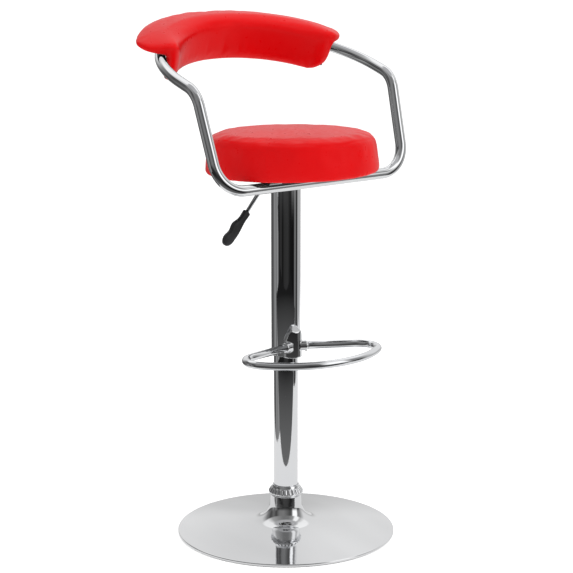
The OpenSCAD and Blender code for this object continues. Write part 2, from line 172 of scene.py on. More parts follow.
def densify(outline, step):
    """Adds points along an outline's long edges."""
    out = []
    for i, a in enumerate(outline):
        b = outline[(i + 1) % len(outline)]
        count = max(1, int((b - a).length / step))
        out += [a.lerp(b, k / count) for k in range(count)]
    return out


def lathe(profile, segments, closed=True, wobble=None):
    """Turns an (r, z) outline about Z. wobble(angle, r, z) may change r."""
    verts, faces = [], []
    count = len(profile)
    for s in range(segments):
        t = 2 * pi * s / segments
        for r, z in profile:
            q = wobble(t, r, z) if wobble else r
            verts.append(Vector((q * cos(t), q * sin(t), z)))
    last = count if closed else count - 1
    for s in range(segments):
        here, there = s * count, (s + 1) % segments * count
        for k in range(last):
            m = (k + 1) % count
            faces.append((here + k, there + k, there + m, here + m))
    return verts, faces


def bend(a, b, c, radius, step=radians(2)):
    """Points along the bend of a tube at corner b, coming from a and going to c."""
    u, w = (a - b).normalized(), (c - b).normalized()
    turn = pi - acos(u.dot(w))
    out = -(w - w.dot(u) * u).normalized()
    centre = b + u * radius * tan(turn / 2) - out * radius
    count = max(4, int(turn / step))
    turns = [turn * k / count for k in range(count + 1)]
    return [centre + radius * (cos(t) * out - sin(t) * u) for t in turns]


def sweep(path, radius, sides=40, closed=False, caps=True):
    """A round tube along a path, with frames carried along it so that it doesn't twist."""
    count = len(path)
    verts, faces = [], []
    side = None
    for i, p in enumerate(path):
        if closed:
            along = (path[(i + 1) % count] - path[i - 1]).normalized()
        else:
            along = (path[min(i + 1, count - 1)] - path[max(i - 1, 0)]).normalized()
        if side is None:
            side = along.orthogonal().normalized()
        side = (side - side.dot(along) * along).normalized()
        up = along.cross(side)
        for k in range(sides):
            t = 2 * pi * k / sides
            verts.append(p + radius * (cos(t) * side + sin(t) * up))
    rings = count if closed else count - 1
    shift = 0
    if closed:
        first = verts[0] - path[0]
        shift = min(range(sides), key=lambda k: (verts[(count - 1) * sides + k] - path[-1] - first).length)
    for i in range(rings):
        wrap = i == count - 1
        for k in range(sides):
            m = (k + 1) % sides
            a, b = i * sides, (i + 1) % count * sides
            if wrap:
                faces.append((a + (k + shift) % sides, b + k, b + m, a + (m + shift) % sides))
            else:
                faces.append((a + k, b + k, b + m, a + m))
    if caps and not closed:
        faces.append(tuple(range(sides)))
        faces.append(tuple((count - 1) * sides + k for k in reversed(range(sides))))
    return verts, faces


def remesh(obj, voxel):
    """Voxel remesh, applied."""
    modifier = obj.modifiers.new("remesh", "REMESH")
    modifier.mode = "VOXEL"
    modifier.voxel_size = voxel
    apply_modifiers(obj)


def apply_modifiers(obj):
    depsgraph = bpy.context.evaluated_depsgraph_get()
    mesh = bpy.data.meshes.new_from_object(obj.evaluated_get(depsgraph))
    obj.modifiers.clear()
    obj.data = mesh


def points_of(obj):
    co = np.empty(len(obj.data.vertices) * 3)
    obj.data.vertices.foreach_get("co", co)
    return co.reshape(-1, 3)


def set_points(obj, co):
    obj.data.vertices.foreach_set("co", co.ravel())
    obj.data.update()


def relax(obj, rounds, factor):
    """Moves every vertex towards the mean of its neighbours."""
    edges = np.empty(len(obj.data.edges) * 2, dtype=int)
    obj.data.edges.foreach_get("vertices", edges)
    a, b = edges[0::2], edges[1::2]
    co = points_of(obj)
    for _ in range(rounds):
        total, count = np.zeros_like(co), np.zeros(len(co))
        np.add.at(total, a, co[b])
        np.add.at(total, b, co[a])
        np.add.at(count, a, 1)
        np.add.at(count, b, 1)
        co += factor * (total / count[:, None] - co)
    set_points(obj, co)


def subdivide(obj):
    """One level of subdivision surface, applied."""
    modifier = obj.modifiers.new("subdivision", "SUBSURF")
    modifier.levels = 1
    modifier.render_levels = 1
    apply_modifiers(obj)


def weld(obj):
    """Joins points that share a place, such as the rings that meet on the axis."""
    modifier = obj.modifiers.new("weld", "WELD")
    modifier.merge_threshold = 0.00005
    apply_modifiers(obj)


def placed(points, matrix):
    """The points, moved by a matrix."""
    return [matrix @ Vector(p) for p in points]


SEAT_FRAME = Matrix.Translation(SEAT_AT) @ Matrix.Rotation(-SEAT_TILT, 4, "X")
BACK_FRAME = Matrix.Translation(ARM_AT + ARM_DIR * REAR_START) @ Matrix.Rotation(ARM_SLOPE, 4, "X")
REST_FRAME = Matrix.Rotation(REST_TURN, 4, "Z") @ Matrix.Translation((0, 0, REST_Z))


# ---------------------------------------------------------------- material helpers
class Shader:
    """A Principled material with a small builder for its nodes."""

    def __init__(self, name, **values):
        self.material = bpy.data.materials.new(name)
        self.material.use_nodes = True
        self.tree = self.material.node_tree
        self.bsdf = self.tree.nodes["Principled BSDF"]
        for key, value in values.items():
            self.bsdf.inputs[key.replace("_", " ")].default_value = value
        self.coords = self.tree.nodes.new("ShaderNodeTexCoord").outputs["Object"]

    def node(self, kind, **settings):
        made = self.tree.nodes.new("ShaderNode" + kind)
        for key, value in settings.items():
            setattr(made, key, value)
        return made

    def link(self, a, b):
        self.tree.links.new(a, b)

    def noise(self, scale, detail=3.0, roughness=0.5, stretch=None):
        made = self.node("TexNoise")
        made.inputs["Scale"].default_value = scale
        made.inputs["Detail"].default_value = detail
        made.inputs["Roughness"].default_value = roughness
        source = self.coords
        if stretch:
            mapping = self.node("Mapping")
            mapping.inputs["Scale"].default_value = stretch
            self.link(source, mapping.inputs["Vector"])
            source = mapping.outputs["Vector"]
        self.link(source, made.inputs["Vector"])
        return made.outputs["Fac"]

    def cells(self, scale, feature="SMOOTH_F1"):
        made = self.node("TexVoronoi", feature=feature)
        made.inputs["Scale"].default_value = scale
        self.link(self.coords, made.inputs["Vector"])
        return made.outputs["Distance"]

    def spread(self, source, low, high, start=0.0, end=1.0):
        made = self.node("MapRange")
        for key, value in (("From Min", start), ("From Max", end), ("To Min", low), ("To Max", high)):
            made.inputs[key].default_value = value
        self.link(source, made.inputs["Value"])
        return made.outputs["Result"]

    def blend(self, source, low, high, start=0.3, end=0.7):
        made = self.node("Mix", data_type="RGBA")
        self.link(self.spread(source, 0, 1, start, end), made.inputs["Factor"])
        made.inputs[6].default_value = (*low, 1)
        made.inputs[7].default_value = (*high, 1)
        return made.outputs[2]

    def bump(self, source, distance, strength=1.0, after=None):
        made = self.node("Bump")
        made.inputs["Distance"].default_value = distance
        made.inputs["Strength"].default_value = strength
        self.link(source, made.inputs["Height"])
        if after:
            self.link(after, made.inputs["Normal"])
        return made.outputs["Normal"]

    def into(self, source, socket):
        self.link(source, self.bsdf.inputs[socket])


def chrome(name, wave=0.00002, ripple=0.0):
    """Polished chrome plate: near-mirror, with orange peel, haze and, on a pressing, slow ripples."""
    s = Shader(name, Metallic=1.0)
    tone, dark, light = s.noise(3.0), (0.83, 0.84, 0.86), (0.90, 0.905, 0.915)
    slow = s.bump(s.noise(14, 2), wave * 6, 0.35)
    if ripple:
        tone, dark = s.noise(5.5, 1.5, stretch=(1.0, 0.4, 1.0)), (0.72, 0.725, 0.735)
        slow = s.bump(s.noise(7, 1, stretch=(1, 0.45, 1)), ripple, 1.0, slow)
    s.into(s.blend(tone, dark, light), "Base Color")
    s.into(s.spread(s.noise(60, 4), 0.025, 0.06, 0.35, 0.7), "Roughness")
    s.into(s.bump(s.noise(220, 2), wave, 0.35, slow), "Normal")
    return s.material


def plated_steel(name, light=(0.62, 0.62, 0.60), dark=(0.48, 0.48, 0.47)):
    """Zinc-plated steel, satin, with a faint spangle."""
    s = Shader(name, Metallic=1.0)
    s.into(s.blend(s.cells(180), dark, light, 0.1, 0.6), "Base Color")
    s.into(s.spread(s.noise(240, 3), 0.24, 0.42), "Roughness")
    s.into(s.bump(s.noise(600, 2), 0.00002, 0.4), "Normal")
    return s.material


def coated(name, low, high, rough, grain, depth):
    """Powder coat, paint, rubber or moulded plastic: two close tones, a grain, and uneven gloss."""
    s = Shader(name)
    s.into(s.blend(s.noise(25, 4), low, high), "Base Color")
    s.into(s.spread(s.noise(grain / 4, 3), rough[0], rough[1]), "Roughness")
    s.into(s.bump(s.noise(grain, 3), depth, 0.5), "Normal")
    return s.material


def plywood(name):
    """Plywood with a long grain, coloured near-black: painted shade for the dark underside of the seat."""
    s = Shader(name)
    grain = s.noise(40, 5, 0.6, (1, 9, 9))
    # Near-black colours: painted shade, standing in for the shade under the seat.
    s.into(s.blend(grain, (0.030, 0.024, 0.020), (0.060, 0.048, 0.040)), "Base Color")
    s.into(s.spread(grain, 0.55, 0.75), "Roughness")
    s.into(s.bump(grain, 0.00015, 0.5), "Normal")
    return s.material


def vinyl(name):
    """Smooth red upholstery vinyl: fine leather grain, soft sheen, slight tone changes."""
    s = Shader(name, Specular_IOR_Level=0.13)
    s.into(s.blend(s.noise(7, 3), (0.62, 0.0010, 0.0022), (0.69, 0.0020, 0.0034)), "Base Color")
    s.into(s.spread(s.noise(90, 4), 0.27, 0.36, 0.3, 0.7), "Roughness")
    grain = s.bump(s.noise(1100, 3), 0.00005, 0.25)
    pores = s.bump(s.noise(2600, 2), 0.00002, 0.3, grain)
    s.into(s.bump(s.noise(28, 2), 0.00035, 0.30, pores), "Normal")
    return s.material


CHROME = chrome("chrome_plate")
PRESSED_CHROME = chrome("pressed_chrome", wave=0.00008, ripple=0.0016)
STEEL = plated_steel("zinc_steel")
DARK_STEEL = coated(
    "black_powder_coat", (0.018, 0.018, 0.019), (0.035, 0.035, 0.037), (0.38, 0.55), 900, 0.00006)
GLOSS_BLACK = coated("black_paint", (0.008, 0.008, 0.008), (0.016, 0.016, 0.017), (0.15, 0.25), 300, 0.00002)
RUBBER = coated("black_rubber", (0.012, 0.012, 0.012), (0.028, 0.028, 0.028), (0.65, 0.85), 700, 0.00008)
NYLON = coated("natural_nylon", (0.66, 0.65, 0.60), (0.74, 0.73, 0.69), (0.40, 0.55), 500, 0.00003)
BLACK_PLASTIC = coated(
    "black_plastic", (0.012, 0.012, 0.013), (0.024, 0.024, 0.026), (0.36, 0.52), 1400, 0.00005)
# Seat board plywood, darkened as painted shade for the seat's underside.
PLYWOOD_AS_SHADE = plywood("plywood_painted_shade")
VINYL = vinyl("red_vinyl")

SLOT_MATERIAL = {
    "chrome": CHROME, "steel": STEEL, "coated_steel": DARK_STEEL, "black_steel": GLOSS_BLACK,
    "rubber": RUBBER, "nylon": NYLON, "black_plastic": BLACK_PLASTIC, "plywood": PLYWOOD_AS_SHADE, "red_vinyl": VINYL,
}


def dress_cad_nodes():
    """Gives every CAD node the material of its slot."""
    for part in frame["record"]["subparts"]:
        node = frame["nodes"][part["node"]]
        node.data.materials.clear()
        node.data.materials.append(SLOT_MATERIAL[part["material_slot"]])


# ---------------------------------------------------------------- base and column
def build_base():
    """Trumpet base: one pressed sheet, from a thin rim up a long flare to the neck."""
    rim_z, edge_z, sheet = 1.6 * MM, 6.5 * MM, BASE_SHEET
    flare, sweep_r = Vector((38, 27.5)) * MM, 40 * MM
    neck = Vector((31 * MM, NECK_TOP))
    outline = rounded(
        [neck, flare, (BASE_R, edge_z), (BASE_R, rim_z), (BASE_R - sheet, rim_z),
            (BASE_R - sheet, edge_z - sheet), flare - Vector((sheet, sheet)), neck - Vector((sheet, 0))],
        [0.3 * MM, sweep_r, 2.2 * MM, 0.5 * MM, 0.5 * MM, 0.5 * MM, sweep_r + sheet, 0.3 * MM], 20)
    verts, faces = lathe(outline, 320)
    new_piece("trumpet_base", verts, faces, "base", PRESSED_CHROME, ["base_disc"])


def build_collar():
    """Collar ring with a band of small upright beads between a plain foot and a plain lip."""
    beads, bead_h, fade = 22, 2.0 * MM, 2 * MM
    low, high = NECK_TOP + 7.5 * MM, COLLAR_TOP - 5 * MM

    def beaded(t, r, z):
        """The beads stand out between low and high, and fade out over a short way at both."""
        inside = r < LOWER_R + 1 * MM
        band = max(0.0, min(1.0, (z - low) / fade)) * max(0.0, min(1.0, (high - z) / fade))
        return r if inside else r + bead_h * band * (abs(cos(beads * t / 2)) ** 0.7 - 0.55)

    inner, neck, foot, lip = LOWER_R + 0.4 * MM, 31.5 * MM, 35.8 * MM, 27.6 * MM
    outline = rounded(
        [(inner, NECK_TOP), (neck, NECK_TOP), (neck, NECK_TOP + 3 * MM), (foot, NECK_TOP + 4.5 * MM),
            (foot - 0.3 * MM, NECK_TOP + 8.5 * MM), (lip + 1 * MM, COLLAR_TOP - 3 * MM),
            (lip, COLLAR_TOP), (inner, COLLAR_TOP)],
        [0.2 * MM, 0.6 * MM, 1.0 * MM, 1.5 * MM, 1.2 * MM, 0.8 * MM, 0.9 * MM, 0.3 * MM], 6)
    verts, faces = lathe(densify(outline, 0.8 * MM), beads * 16, wobble=beaded)
    new_piece("beaded_collar", verts, faces, "base", CHROME, ["column_collar"])


def build_column_tube(name, node, body, outer, wall=2 * MM, edge=0.5 * MM):
    """One of the column's two tubes, as long as its CAD node."""
    low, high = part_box(node)
    inner = outer - wall
    outline = rounded([(outer, low.z), (outer, high.z), (inner, high.z), (inner, low.z)], [edge] * 4, 5)
    verts, faces = lathe(outline, 192)
    new_piece(name, verts, faces, body, CHROME, [node])


# ---------------------------------------------------------------- arm frame, foot rest, lever
def arm_path():
    """One closed loop: the bar under the seat, up both sides, back along the arms and round the back."""
    rear = ARM_AT + ARM_DIR * (REAR_START + REAR_R)
    half = [BAR, Vector((ARM_HALF, ARM_AT.y, ARM_AT.z)), rear + Vector((REAR_R, 0, 0))]
    mirror = [Vector((-p.x, p.y, p.z)) for p in half]
    corners = mirror + half[::-1]
    radii = [62 * MM, 50 * MM, REAR_R - 1 * MM, REAR_R - 1 * MM, 50 * MM, 62 * MM]
    path = []
    for i, radius in enumerate(radii):
        path += bend(corners[i - 1], corners[i], corners[(i + 1) % 6], radius)
    return path


def build_arm_frame():
    verts, faces = sweep(arm_path(), ARM_R, 48, closed=True)
    new_piece("arm_tube", verts, faces, "seat", CHROME, ["arm_frame"])


def rest_path():
    """Foot-rest loop in its own plane: two straight arms, two corners and a front curve, all tangent."""
    line = Vector((V_SLOPE, 1)).normalized()
    reach = REST_FRONT_R - REST_CORNER_R
    meet = asin((-REST_CORNER_R - line.y * (REST_FRONT_C - V_APEX)) / reach) + atan2(line.y, line.x)
    corner = Vector((reach * sin(meet), REST_FRONT_C - reach * cos(meet)))
    line_angle = atan2(line.y, line.x)
    right = [Vector((SOCKET_X, V_APEX - V_SLOPE * SOCKET_X, 0))]
    steps = 40
    for k in range(steps + 1):
        t = line_angle + (meet - pi / 2 - line_angle) * k / steps
        right.append(Vector((corner.x + REST_CORNER_R * cos(t), corner.y + REST_CORNER_R * sin(t), 0)))
    steps = 80
    front = []
    for k in range(1, steps):
        t = meet - pi / 2 - 2 * meet * k / steps
        front.append(Vector((REST_FRONT_R * cos(t), REST_FRONT_C + REST_FRONT_R * sin(t), 0)))
    left = [Vector((-p.x, p.y, 0)) for p in reversed(right)]
    return placed(right + front + left, REST_FRAME)


def build_foot_rest():
    """The loop is kept out of mirrors, so that the column's stripes stay as clean as in the photograph."""
    verts, faces = sweep(rest_path(), REST_R, 40)
    obj = new_piece("foot_rest_loop", verts, faces, "seat", CHROME, ["footrest_ring"])
    obj.visible_glossy = False


def bracket_top_z(x, y):
    """Height of the casting's top: a slope to the front that falls away towards both sides."""
    slope = BRACKET_FRONT_TOP + (y - BRACKET_Y + BRACKET_R) * 0.92
    shoulder = 13 * MM * smooth_step(5 * MM, 15 * MM, abs(x))
    flank = 27 * MM * smooth_step(13 * MM, 23 * MM, abs(x))
    return min(slope, BRACKET_TOP - shoulder - flank)


def bracket_body():
    """Closed crescent that hugs the sleeve: columns from its bottom edge up to its sloped top."""
    inner_r, middle, bottom = SLEEVE_R - 0.5 * MM, Vector((0, BRACKET_Y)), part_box("upper_sleeve")[0].z
    across, deep, high = 40, 14, 30
    verts, faces, index = [], [], {}
    for i in range(across + 1):
        a = radians(-180 + 180 * i / across)
        outer = middle + Vector((cos(a), sin(a))) * BRACKET_R
        outer *= max(1.0, (inner_r + 1.5 * MM) / outer.length)
        inner = outer.normalized() * inner_r
        for j in range(deep + 1):
            spot = inner.lerp(outer, j / deep)
            top = bracket_top_z(spot.x, spot.y)
            for k in range(high + 1):
                if i in (0, across) or j in (0, deep) or k in (0, high):
                    index[i, j, k] = len(verts)
                    verts.append(Vector((spot.x, spot.y, bottom + (top - bottom) * k / high - REST_Z)))

    def wall(corner, step_a, step_b, flip):
        quad = [corner, corner + step_a, corner + step_a + step_b, corner + step_b]
        quad = [index[tuple(int(n) for n in q)] for q in quad]
        faces.append(quad[::-1] if flip else quad)

    x, y, z = Vector((1, 0, 0)), Vector((0, 1, 0)), Vector((0, 0, 1))
    for i in range(across):
        for j in range(deep):
            wall(Vector((i, j, 0)), x, y, False)
            wall(Vector((i, j, high)), x, y, True)
        for k in range(high):
            wall(Vector((i, 0, k)), x, z, True)
            wall(Vector((i, deep, k)), x, z, False)
    for j in range(deep):
        for k in range(high):
            wall(Vector((0, j, k)), y, z, False)
            wall(Vector((across, j, k)), y, z, True)
    return verts, faces


def build_bracket():
    """The cast bracket: one softened casting, a crescent body that runs out into two round bosses."""
    verts, faces = bracket_body()
    apex, boss_r, boss_in, boss_out = Vector((0, V_APEX, 0)), 10.6 * MM, 12 * MM, 28.6 * MM
    axis_r = 0.05 * MM
    corners = [(axis_r, boss_in), (axis_r, boss_out), (boss_r, boss_out), (boss_r, boss_in)]
    outline = rounded(corners, [0, 0, 3.2 * MM, 0], 6)
    ring_verts, ring_faces = lathe(outline, 40)
    for side in (1, -1):
        along = Vector((side, -V_SLOPE, 0)).to_track_quat("Z", "Y").to_matrix()
        first = len(verts)
        verts += [apex + along @ v for v in ring_verts]
        faces += [tuple(first + k for k in face) for face in ring_faces]
    obj = new_piece(
        "cast_bracket", placed(verts, REST_FRAME), faces, "seat", CHROME, ["footrest_bracket"])
    remesh(obj, 0.7 * MM)
    relax(obj, 10, 0.5)
    co = points_of(obj)
    radius = np.hypot(co[:, 0], co[:, 1])
    near = np.maximum(1.0, (SLEEVE_R - 0.4 * MM) / radius)
    co[:, 0] *= near
    co[:, 1] *= near
    set_points(obj, co)


def build_lever():
    """Round bar from the valve out through the column, bent down into the grip."""
    down = (GRIP_START - LEVER_ELBOW).normalized()
    corner = bend(LEVER_TAIL, LEVER_ELBOW, GRIP_START, 12 * MM, radians(4))
    verts, faces = sweep([LEVER_TAIL, *corner, GRIP_START + down * 20 * MM], LEVER_R, 32)
    new_piece("lever_bar", verts, faces, "lever", CHROME, ["lever_rod"])


def build_grip():
    """Paddle grip: flat oval sections that swell to a rounded tip, with one finger hollow below."""
    axis = (GRIP_END - GRIP_START).normalized()
    across = axis.cross(Vector((0, 1, 0))).normalized()
    depth = Vector((0, 1, 0))
    length = (GRIP_END - GRIP_START).length
    rings, sides = 60, 48
    verts, faces = [], []
    for i in range(rings + 1):
        t = i / rings
        tip = sqrt(max(0.0, 1 - max(0.0, (t - 0.80) / 0.20) ** 2))
        neck = sqrt(max(0.0, 1 - max(0.0, (0.03 - t) / 0.03) ** 2)) * 0.15 + 0.85
        swell = smooth_step(0.18, 0.62, t)
        upper = (8.4 + 4.4 * swell) * MM * tip * neck
        hump = 4.6 * bell(t - 0.46, 0.13) - 1.4 * bell(t - 0.20, 0.12) + 3.6 * smooth_step(0.6, 0.84, t)
        lower = (8.4 + hump) * MM * tip * neck
        thick = (6.2 + 0.6 * swell) * MM * (0.35 + 0.65 * tip) * neck * (1 if t < 0.999 else 0.4)
        centre = GRIP_START + axis * length * t
        for k in range(sides):
            a = 2 * pi * k / sides
            c, s = cos(a), sin(a)
            x = abs(c) ** 0.75 * (1 if c > 0 else -1) * (upper if c > 0 else lower)
            y = abs(s) ** 0.75 * (1 if s > 0 else -1) * thick
            verts.append(centre + across * x + depth * y)
    for i in range(rings):
        for k in range(sides):
            m = (k + 1) % sides
            faces.append((i * sides + k, (i + 1) * sides + k, (i + 1) * sides + m, i * sides + m))
    faces.append(tuple(range(sides)))
    faces.append(tuple(rings * sides + k for k in reversed(range(sides))))
    new_piece("paddle_grip", verts, faces, "lever", BLACK_PLASTIC, ["lever_grip"])


# ---------------------------------------------------------------- upholstery
def inflate(obj, held, cap, pressure=4.0, frames=20):
    """Cloth simulation: the cover swells under pressure, held where held(point) is 1, up to cap at most."""
    rest = points_of(obj)
    group = obj.vertex_groups.new(name="held")
    for i, p in enumerate(rest):
        weight = held(p)
        if weight > 0:
            group.add([i], weight, "REPLACE")
    cloth = obj.modifiers.new("cloth", "CLOTH")
    cloth.settings.quality = 6
    cloth.settings.mass = 0.3
    cloth.settings.tension_stiffness = 25
    cloth.settings.compression_stiffness = 25
    cloth.settings.bending_stiffness = 2
    cloth.settings.use_pressure = True
    cloth.settings.uniform_pressure_force = pressure
    cloth.settings.vertex_group_mass = "held"
    cloth.settings.effector_weights.gravity = 0
    cloth.point_cache.frame_start = 1
    cloth.point_cache.frame_end = frames
    for f in range(1, frames + 1):
        bpy.context.scene.frame_set(f)
    apply_modifiers(obj)
    moved = points_of(obj) - rest
    length = np.linalg.norm(moved, axis=1)
    scale = np.minimum(1.0, cap / np.maximum(length, 1e-9))
    set_points(obj, rest + moved * scale[:, None])
    obj.vertex_groups.clear()
    bpy.context.scene.frame_set(1)


def build_seat_cushion():
    """Round drum cushion: a swollen top, a skirt that flares a little at its hem, a crease below the edge."""
    hem_r, under = HEM_R, -1.5 * MM
    top_r, waist_r = SEAT_R - 4.2 * MM, SEAT_R - 5 * MM
    pocket_r, pocket_z = BOARD_R + 0.8 * MM, BOARD_T + 2.2 * MM
    outline = rounded(
        [(0, pocket_z), (pocket_r, pocket_z), (pocket_r, -0.2 * MM), (hem_r, -0.2 * MM), (hem_r, under),
            (SEAT_R - 0.4 * MM, under), (SEAT_R - 1.8 * MM, 18 * MM), (waist_r, 44 * MM),
            (top_r, SEAT_H - 2 * MM), (0, SEAT_H + SEAT_CROWN - 2 * MM)],
        [0, 0, 0, 0, 0, 4 * MM, 50 * MM, 60 * MM, 17 * MM, 0], 8)
    verts, faces = lathe(densify(outline, 5 * MM), 220)
    obj = loose_mesh("seat_cover", verts, faces)
    weld(obj)
    swell_seat(obj)
    shape_seat(obj)
    set_points(obj, np.array([SEAT_FRAME @ Vector(p) for p in points_of(obj)]))
    finish_piece(obj, "seat", VINYL, ["seat_cushion"])
    obj.visible_glossy = False


def build_dust_cover():
    """Thin black cloth stapled under the seat board, from the cover's hem in to the mechanism's hub."""
    inner, outer, low, high = 45 * MM, HEM_R - 0.6 * MM, -0.9 * MM, -0.1 * MM
    outline = rounded([(inner, low), (outer, low), (outer, high), (inner, high)], [0.3 * MM] * 4, 3)
    verts, faces = lathe(densify(outline, 6 * MM), 180)
    waves = [Vector((0, 0, 0.25 * MM * noise.noise(v * 40) - 0.1 * MM)) for v in verts]
    cloth = placed([v + wave for v, wave in zip(verts, waves)], SEAT_FRAME)
    new_piece("dust_cover", cloth, faces, "seat", RUBBER)


def swell_seat(obj):
    """Remesh, simulated swelling and smoothing of the seat's cover, which its board holds at the bottom."""
    remesh(obj, 4.5 * MM)

    def held(p):
        radius = sqrt(p[0] ** 2 + p[1] ** 2)
        inside = radius < BOARD_R + 4 * MM and p[2] < BOARD_T + 8 * MM
        return 1.0 if p[2] < 14 * MM or inside else 0.0

    inflate(obj, held, 3.5 * MM)
    relax(obj, 7, 0.5)
    subdivide(obj)


def shape_seat(obj):
    """Crease and slack folds in the skirt, just below the top edge, and faint pulls at the hem."""
    co = points_of(obj)
    radius = np.hypot(co[:, 0], co[:, 1])
    angle = np.arctan2(co[:, 1], co[:, 0])
    skirt_r = 155 * MM
    for i, z in enumerate(co[:, 2]):
        r = radius[i]
        if r < skirt_r or z < 4 * MM:
            continue
        t = angle[i]
        around = Vector((cos(t) * 1.7, sin(t) * 1.7, 0))
        line = SEAT_H - (9.5 + 5 * noise.noise(around * 1.5)) * MM
        dip = 1.5 * MM * (0.6 + 0.75 * noise.noise(around * 2.1 + Vector((5, 0, 0))))
        second = line - (5.0 + 2 * noise.noise(around * 2.4 + Vector((0, 7, 0)))) * MM
        soft = 0.7 * MM * max(0.0, noise.noise(around * 2.7 + Vector((3, 3, 0))) + 0.15)
        push = -max(dip, 0.3 * MM) * bell(z - line, 2.2 * MM) - soft * bell(z - second, 2.4 * MM)
        push += 0.7 * MM * bell(z - line - 6 * MM, 5 * MM)
        low = Vector((cos(t) * 3, sin(t) * 3, z * 18))
        push += 0.6 * MM * noise.noise(low) * smooth_step(0.0, 0.02, z) * smooth_step(0.070, 0.050, z)
        hem = 0.35 * MM * noise.noise(Vector((cos(t) * 9, sin(t) * 9, z * 40))) * bell(z, 10 * MM)
        co[i, 0] += (push + hem) * cos(t)
        co[i, 1] += (push + hem) * sin(t)
    co[:, 2] -= tan(SEAT_LEAN) * co[:, 0] * np.clip(co[:, 2] / SEAT_H, 0, 1)
    set_points(obj, co)


def pad_section(phi):
    """Closed (radius, height) outline of the back pad at an angle from the middle of the back."""
    lip_end = (PAD_HALF - abs(phi)) * PAD_OUT_R
    face_end = max(0.0, (FACE_HALF - abs(phi)) * PAD_IN_R)
    lip_out = PAD_OUT_SHIFT * cos(phi) + sqrt(PAD_OUT_R ** 2 - (PAD_OUT_SHIFT * sin(phi)) ** 2)

    def corner(end, radius):
        e = min(max(end, 0.0), radius)
        return radius - sqrt(radius ** 2 - (radius - e) ** 2)

    lip = lip_out - 1 * MM - corner(lip_end, 52 * MM)
    wrap = corner(face_end, 21 * MM)
    step = 1 - smooth_step(0, 7 * MM, face_end)
    drop = PAD_DROP - corner(face_end, 44 * MM) - (PAD_DROP - 34 * MM) * step
    outer_drop = drop - 7 * MM * (1 - smooth_step(6 * MM, 46 * MM, face_end))
    face = PAD_IN_R + wrap
    back = PAD_FLANGE_R + 1.4 * MM
    top = 43 * MM - wrap * 0.35
    edge_top, edge_low, under = 23.5 * MM, 12.0 * MM, 12.6 * MM
    toe = max(0.4 * MM, min(8 * MM, (back - face) / 2 - 0.5 * MM))
    return rounded(
        [(face, -drop), (face, top), (lip, edge_top), (lip, edge_low), (back, under), (back, -outer_drop)],
        [toe, 17 * MM - wrap * 0.6, 4.8 * MM, 4.8 * MM, 0.4 * MM, toe], 6)


def build_back_pad():
    """Curved pad: a face that hangs before the tube, and a broad lip that runs back over it."""
    steps = 150
    angles = [PAD_HALF * sin(pi / 2 * (2 * k / steps - 1)) for k in range(steps + 1)]
    rings = [pad_section(phi) for phi in angles]
    verts, faces = [], []
    count = len(rings[0])
    for phi, ring in zip(angles, rings):
        verts += [Vector((r * sin(phi), r * cos(phi), h)) for r, h in ring]
    for i in range(steps):
        for k in range(count):
            m = (k + 1) % count
            faces.append((i * count + k, i * count + m, (i + 1) * count + m, (i + 1) * count + k))
    faces.append(tuple(reversed(range(count))))
    faces.append(tuple(steps * count + k for k in range(count)))
    obj = loose_mesh("back_cover", verts, faces)
    remesh(obj, 4 * MM)
    relax(obj, 2, 0.4)
    inflate(obj, pad_held, 4 * MM)
    relax(obj, 5, 0.5)
    subdivide(obj)
    shape_pad(obj)
    set_points(obj, np.array([BACK_FRAME @ Vector(p) for p in points_of(obj)]))
    finish_piece(obj, "seat", VINYL, ["back_pad"])
    obj.visible_glossy = False


def pad_held(p):
    """1 on what the stiff shell and the tube keep in place: the flange's back and the lip's underside."""
    radius = sqrt(p[0] ** 2 + p[1] ** 2)
    return 1.0 if radius > PAD_FLANGE_R - 6 * MM and p[2] < 14.5 * MM else 0.0


def shape_pad(obj):
    """Slack waves along the folded lower edge of the lip."""
    co = points_of(obj)
    for i, (x, y, z) in enumerate(co):
        radius = sqrt(x * x + y * y)
        edge = smooth_step(0.262, 0.285, radius) * smooth_step(0.014, 0.010, z)
        if edge > 0:
            t = atan2(x, y)
            co[i, 2] += edge * 1.2 * MM * noise.noise(Vector((t * 9, 0, 2)))
            co[i, 2] += edge * 0.5 * MM * noise.noise(Vector((t * 31, 4, 2)))
    set_points(obj, co)


# ---------------------------------------------------------------- stage
CAMERA_AT = Vector((-2.40726, -3.19454, 1.42087))
CAMERA_PITCH = radians(12.6675)
CAMERA_TURN = -0.64611
VIEW_FROM = atan2(CAMERA_AT.y, CAMERA_AT.x)


def build_camera():
    """Long lens from the front left, a little above the seat, as the photograph was taken."""
    data = bpy.data.cameras.new("camera")
    data.sensor_width = 36
    data.lens = 126.46
    camera = bpy.data.objects.new("camera", data)
    camera.location = CAMERA_AT
    camera.rotation_euler = (pi / 2 - CAMERA_PITCH, 0, CAMERA_TURN)
    bpy.context.scene.collection.objects.link(camera)
    bpy.context.scene.camera = camera


def flat_panel(name, corners, material):
    """A flat sheet of the studio."""
    panel = loose_mesh(name, corners, [tuple(range(len(corners)))])
    panel.data.materials.append(material)
    return panel


